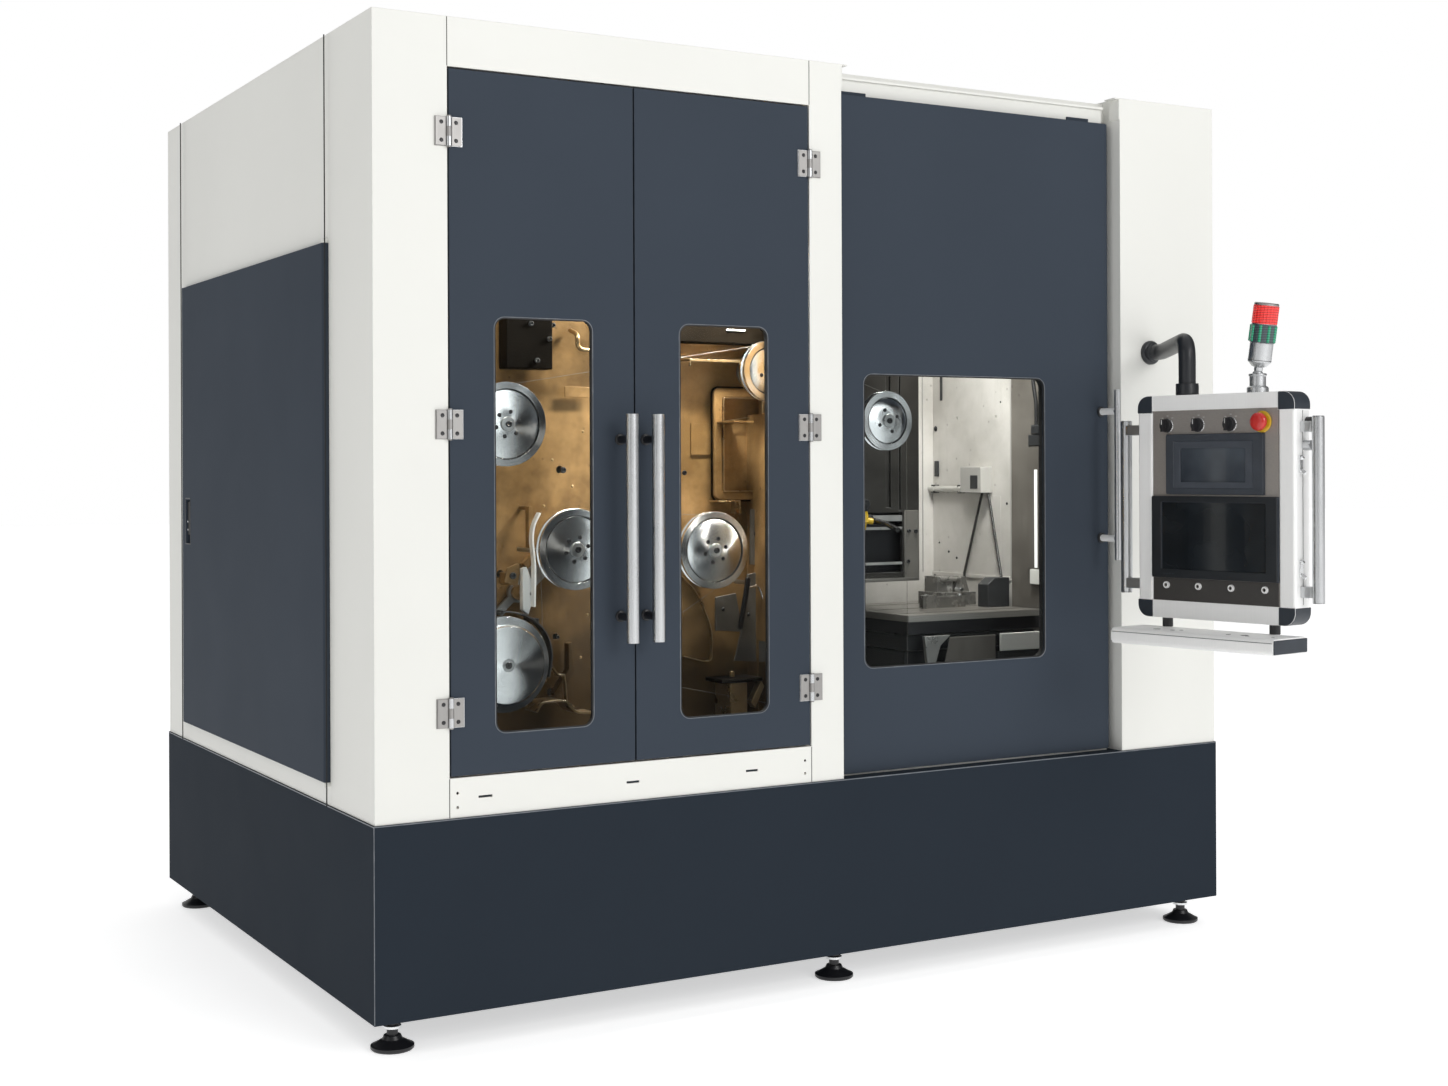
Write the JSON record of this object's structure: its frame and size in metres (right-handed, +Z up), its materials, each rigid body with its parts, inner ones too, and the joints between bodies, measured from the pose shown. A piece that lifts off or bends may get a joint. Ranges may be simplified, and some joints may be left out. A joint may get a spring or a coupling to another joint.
{
  "type": "diamond wire saw",
  "caption": "Enclosed diamond wire saw: wire loop over grooved wheels behind double doors, sliding bay door, feed table and a swivelling operator pendant",
  "frame": {"origin": "on the floor, under the centre of the middle levelling pad of the front row", "axes": "X to the right seen from the front, Y to the back, Z up"},
  "size_m": [2.36, 2.368, 2.172],
  "materials": {
    "slate_paint": "slate grey powder coat, satin",
    "plinth_paint": "dark slate powder coat, satin",
    "white_paint": "off-white powder coat, fine texture",
    "stainless": "brushed stainless",
    "turned_alu": "turned aluminium",
    "steel": "machined steel",
    "bronze_paint": "golden brown coated plate",
    "bay_paint": "light grey inner panels",
    "machine_paint": "dark grey machine paint",
    "black_metal": "black powder coat",
    "black_plastic": "black moulded plastic",
    "clear": "clear polycarbonate pane",
    "wire": "diamond coated steel wire",
    "screen": "dark screen glass with bezel",
    "red": "red plastic",
    "lens": "coloured lamp lenses on a grey body",
    "silver": "anodised aluminium profile"
  },
  "bodies": {
    "enclosure": {"plinth": "plinth_paint", "levelling_feet": "black_metal", "left_front_post": "white_paint", "mid_post": "white_paint", "lintel": "white_paint", "sill_strip": "white_paint", "right_column": "white_paint", "left_side_panel": "white_paint", "right_side_panel": "white_paint", "rear_covers": "white_paint", "roof_panels": "white_paint", "wheel_plate": "bronze_paint", "chamber_walls": "bronze_paint", "bay_walls": "bay_paint", "door_track": "white_paint", "fixed_hinges": "stainless", "saw_head": "machine_paint", "idler_axles": "steel", "drive_motor": "machine_paint", "tension_spring": "steel", "wire_guards": "bronze_paint", "diamond_wire": "wire", "bed": "machine_paint", "coolant_lines": "black_plastic", "pendant_arm": "black_metal"},
    "left_door_leaf": {"left_door": "slate_paint", "left_window": "clear", "left_door_fittings": "stainless"},
    "right_door_leaf": {"right_door": "slate_paint", "right_window": "clear", "right_door_fittings": "stainless"},
    "bay_door": {"sliding_door": "slate_paint", "bay_window": "clear", "bay_handle": "stainless"},
    "side_door_leaf": {"side_door": "slate_paint"},
    "side_pull": {"side_latch_paddle": "black_plastic"},
    "arm_of_tension": {"tension_arm": "steel"},
    "cross_slide": {"saddle": "machine_paint"},
    "feed_table": {"worktable": "steel", "work_fixture": "steel"},
    "pendant": {"pendant_case": "machine_paint", "pendant_frame": "silver", "pendant_fascia": "stainless", "touch_panel": "screen", "monitor": "screen", "side_handles": "stainless", "keyboard_shelf": "silver"},
    "selector_one": {"selector_1": "black_plastic"},
    "selector_two": {"selector_2": "black_plastic"},
    "selector_three": {"selector_3": "black_plastic"},
    "stop_head": {"stop_button": "red"},
    "lamp": {"stack_light": "lens"},
    "drive_wheel_body": {"drive_wheel": "turned_alu"},
    "upper_wheel_body": {"upper_wheel": "turned_alu"},
    "tension_wheel_body": {"tension_wheel": "turned_alu"},
    "centre_wheel_body": {"centre_wheel": "turned_alu"},
    "crossing_wheel_body": {"crossing_wheel": "turned_alu"},
    "head_wheel_body": {"head_wheel": "turned_alu"},
    "lower_wheel_body": {"lower_wheel": "turned_alu"},
    "return_wheel_body": {"return_wheel": "turned_alu"}
  },
  "joints": [
    {"name": "left_door_hinge", "type": "hinge", "parent": "enclosure", "child": "left_door_leaf", "pos_m": [-1.005, -0.073, 1.272], "axis": [0, 0, 1], "range_deg": [-110, 0]},
    {"name": "right_door_hinge", "type": "hinge", "parent": "enclosure", "child": "right_door_leaf", "pos_m": [-0.106, -0.073, 1.272], "axis": [0, 0, 1], "range_deg": [0, 110]},
    {"name": "bay_door_slide", "type": "slide", "parent": "enclosure", "child": "bay_door", "axis": [1, 0, 0], "range_m": [-0.78, 0]},
    {"name": "side_door_hinge", "type": "hinge", "parent": "enclosure", "child": "side_door_leaf", "pos_m": [-1.179, 0.223, 1.122], "axis": [0, 0, 1], "range_deg": [0, 105]},
    {"name": "side_pull_swing", "type": "hinge", "parent": "side_door_leaf", "child": "side_pull", "pos_m": [-1.177, 1.358, 1.128], "axis": [0, 1, 0], "range_deg": [0, 60], "stiffness_Nm_per_rad": 0.2, "springref_deg": -11.46},
    {"name": "drive_spin", "type": "hinge", "parent": "enclosure", "child": "drive_wheel_body", "pos_m": [-0.778, 0.18, 0.775], "axis": [0, 1, 0], "continuous": true},
    {"name": "upper_spin", "type": "hinge", "parent": "enclosure", "child": "upper_wheel_body", "pos_m": [-0.77, 0.18, 1.321], "axis": [0, 1, 0], "continuous": true},
    {"name": "tension_spin", "type": "hinge", "parent": "arm_of_tension", "child": "tension_wheel_body", "pos_m": [-0.597, 0.18, 1.032], "axis": [0, 1, 0], "continuous": true},
    {"name": "centre_spin", "type": "hinge", "parent": "enclosure", "child": "centre_wheel_body", "pos_m": [-0.228, 0.18, 1.021], "axis": [0, 1, 0], "continuous": true},
    {"name": "crossing_spin", "type": "hinge", "parent": "enclosure", "child": "crossing_wheel_body", "pos_m": [-0.07, 0.18, 1.457], "axis": [0, 1, 0], "continuous": true},
    {"name": "head_spin", "type": "hinge", "parent": "enclosure", "child": "head_wheel_body", "pos_m": [0.28002, 0.18, 1.338], "axis": [0, 1, 0], "continuous": true},
    {"name": "lower_spin", "type": "hinge", "parent": "enclosure", "child": "lower_wheel_body", "pos_m": [0.28002, 0.18, 0.632], "axis": [0, 1, 0], "continuous": true},
    {"name": "return_spin", "type": "hinge", "parent": "enclosure", "child": "return_wheel_body", "pos_m": [-0.397, 0.18, 0.765], "axis": [0, 1, 0], "continuous": true},
    {"name": "tension_pivot", "type": "hinge", "parent": "enclosure", "child": "arm_of_tension", "pos_m": [-0.705, 0.265, 0.932], "axis": [0, 1, 0], "range_deg": [0, 10], "stiffness_Nm_per_rad": 60, "springref_deg": -28.65, "deforming": ["tension_spring"]},
    {"name": "saddle_slide", "type": "slide", "parent": "enclosure", "child": "cross_slide", "axis": [0, 1, 0], "range_m": [-0.03, 0.07]},
    {"name": "table_feed", "type": "slide", "parent": "cross_slide", "child": "feed_table", "axis": [1, 0, 0], "range_m": [-0.3, 0]},
    {"name": "pendant_swivel", "type": "hinge", "parent": "enclosure", "child": "pendant", "pos_m": [0.78316, -0.37846, 1.391], "axis": [0, 0, 1], "range_deg": [-60, 80]},
    {"name": "selector_one_turn", "type": "hinge", "parent": "pendant", "child": "selector_one", "pos_m": [0.74592, -0.3479, 1.318], "axis": [0.9877, 0.1564, 0], "range_deg": [-45, 45]},
    {"name": "selector_two_turn", "type": "hinge", "parent": "pendant", "child": "selector_two", "pos_m": [0.76031, -0.43877, 1.318], "axis": [0.9877, 0.1564, 0], "range_deg": [-45, 45]},
    {"name": "selector_three_turn", "type": "hinge", "parent": "pendant", "child": "selector_three", "pos_m": [0.77471, -0.52964, 1.318], "axis": [0.9877, 0.1564, 0], "range_deg": [-45, 45]},
    {"name": "stop_push", "type": "slide", "parent": "pendant", "child": "stop_head", "axis": [0.9877, 0.1564, 0], "range_m": [0, 0.006], "stiffness_N_per_m": 900, "springref_m": -0.004},
    {"name": "lamp_tilt", "type": "hinge", "parent": "pendant", "child": "lamp", "pos_m": [0.82006, -0.57308, 1.433], "axis": [0.9877, 0.1564, 0], "range_deg": [-20, 20]}
  ],
  "couplings": [
    {"joint": "upper_spin", "follows": "drive_spin", "ratio": 1.1477},
    {"joint": "tension_spin", "follows": "drive_spin", "ratio": -1.1744},
    {"joint": "centre_spin", "follows": "drive_spin", "ratio": -1.1882},
    {"joint": "crossing_spin", "follows": "drive_spin", "ratio": 1.5303},
    {"joint": "head_spin", "follows": "drive_spin", "ratio": 1.5075},
    {"joint": "lower_spin", "follows": "drive_spin", "ratio": 1.5075},
    {"joint": "return_spin", "follows": "drive_spin", "ratio": 1.9804}
  ]
}
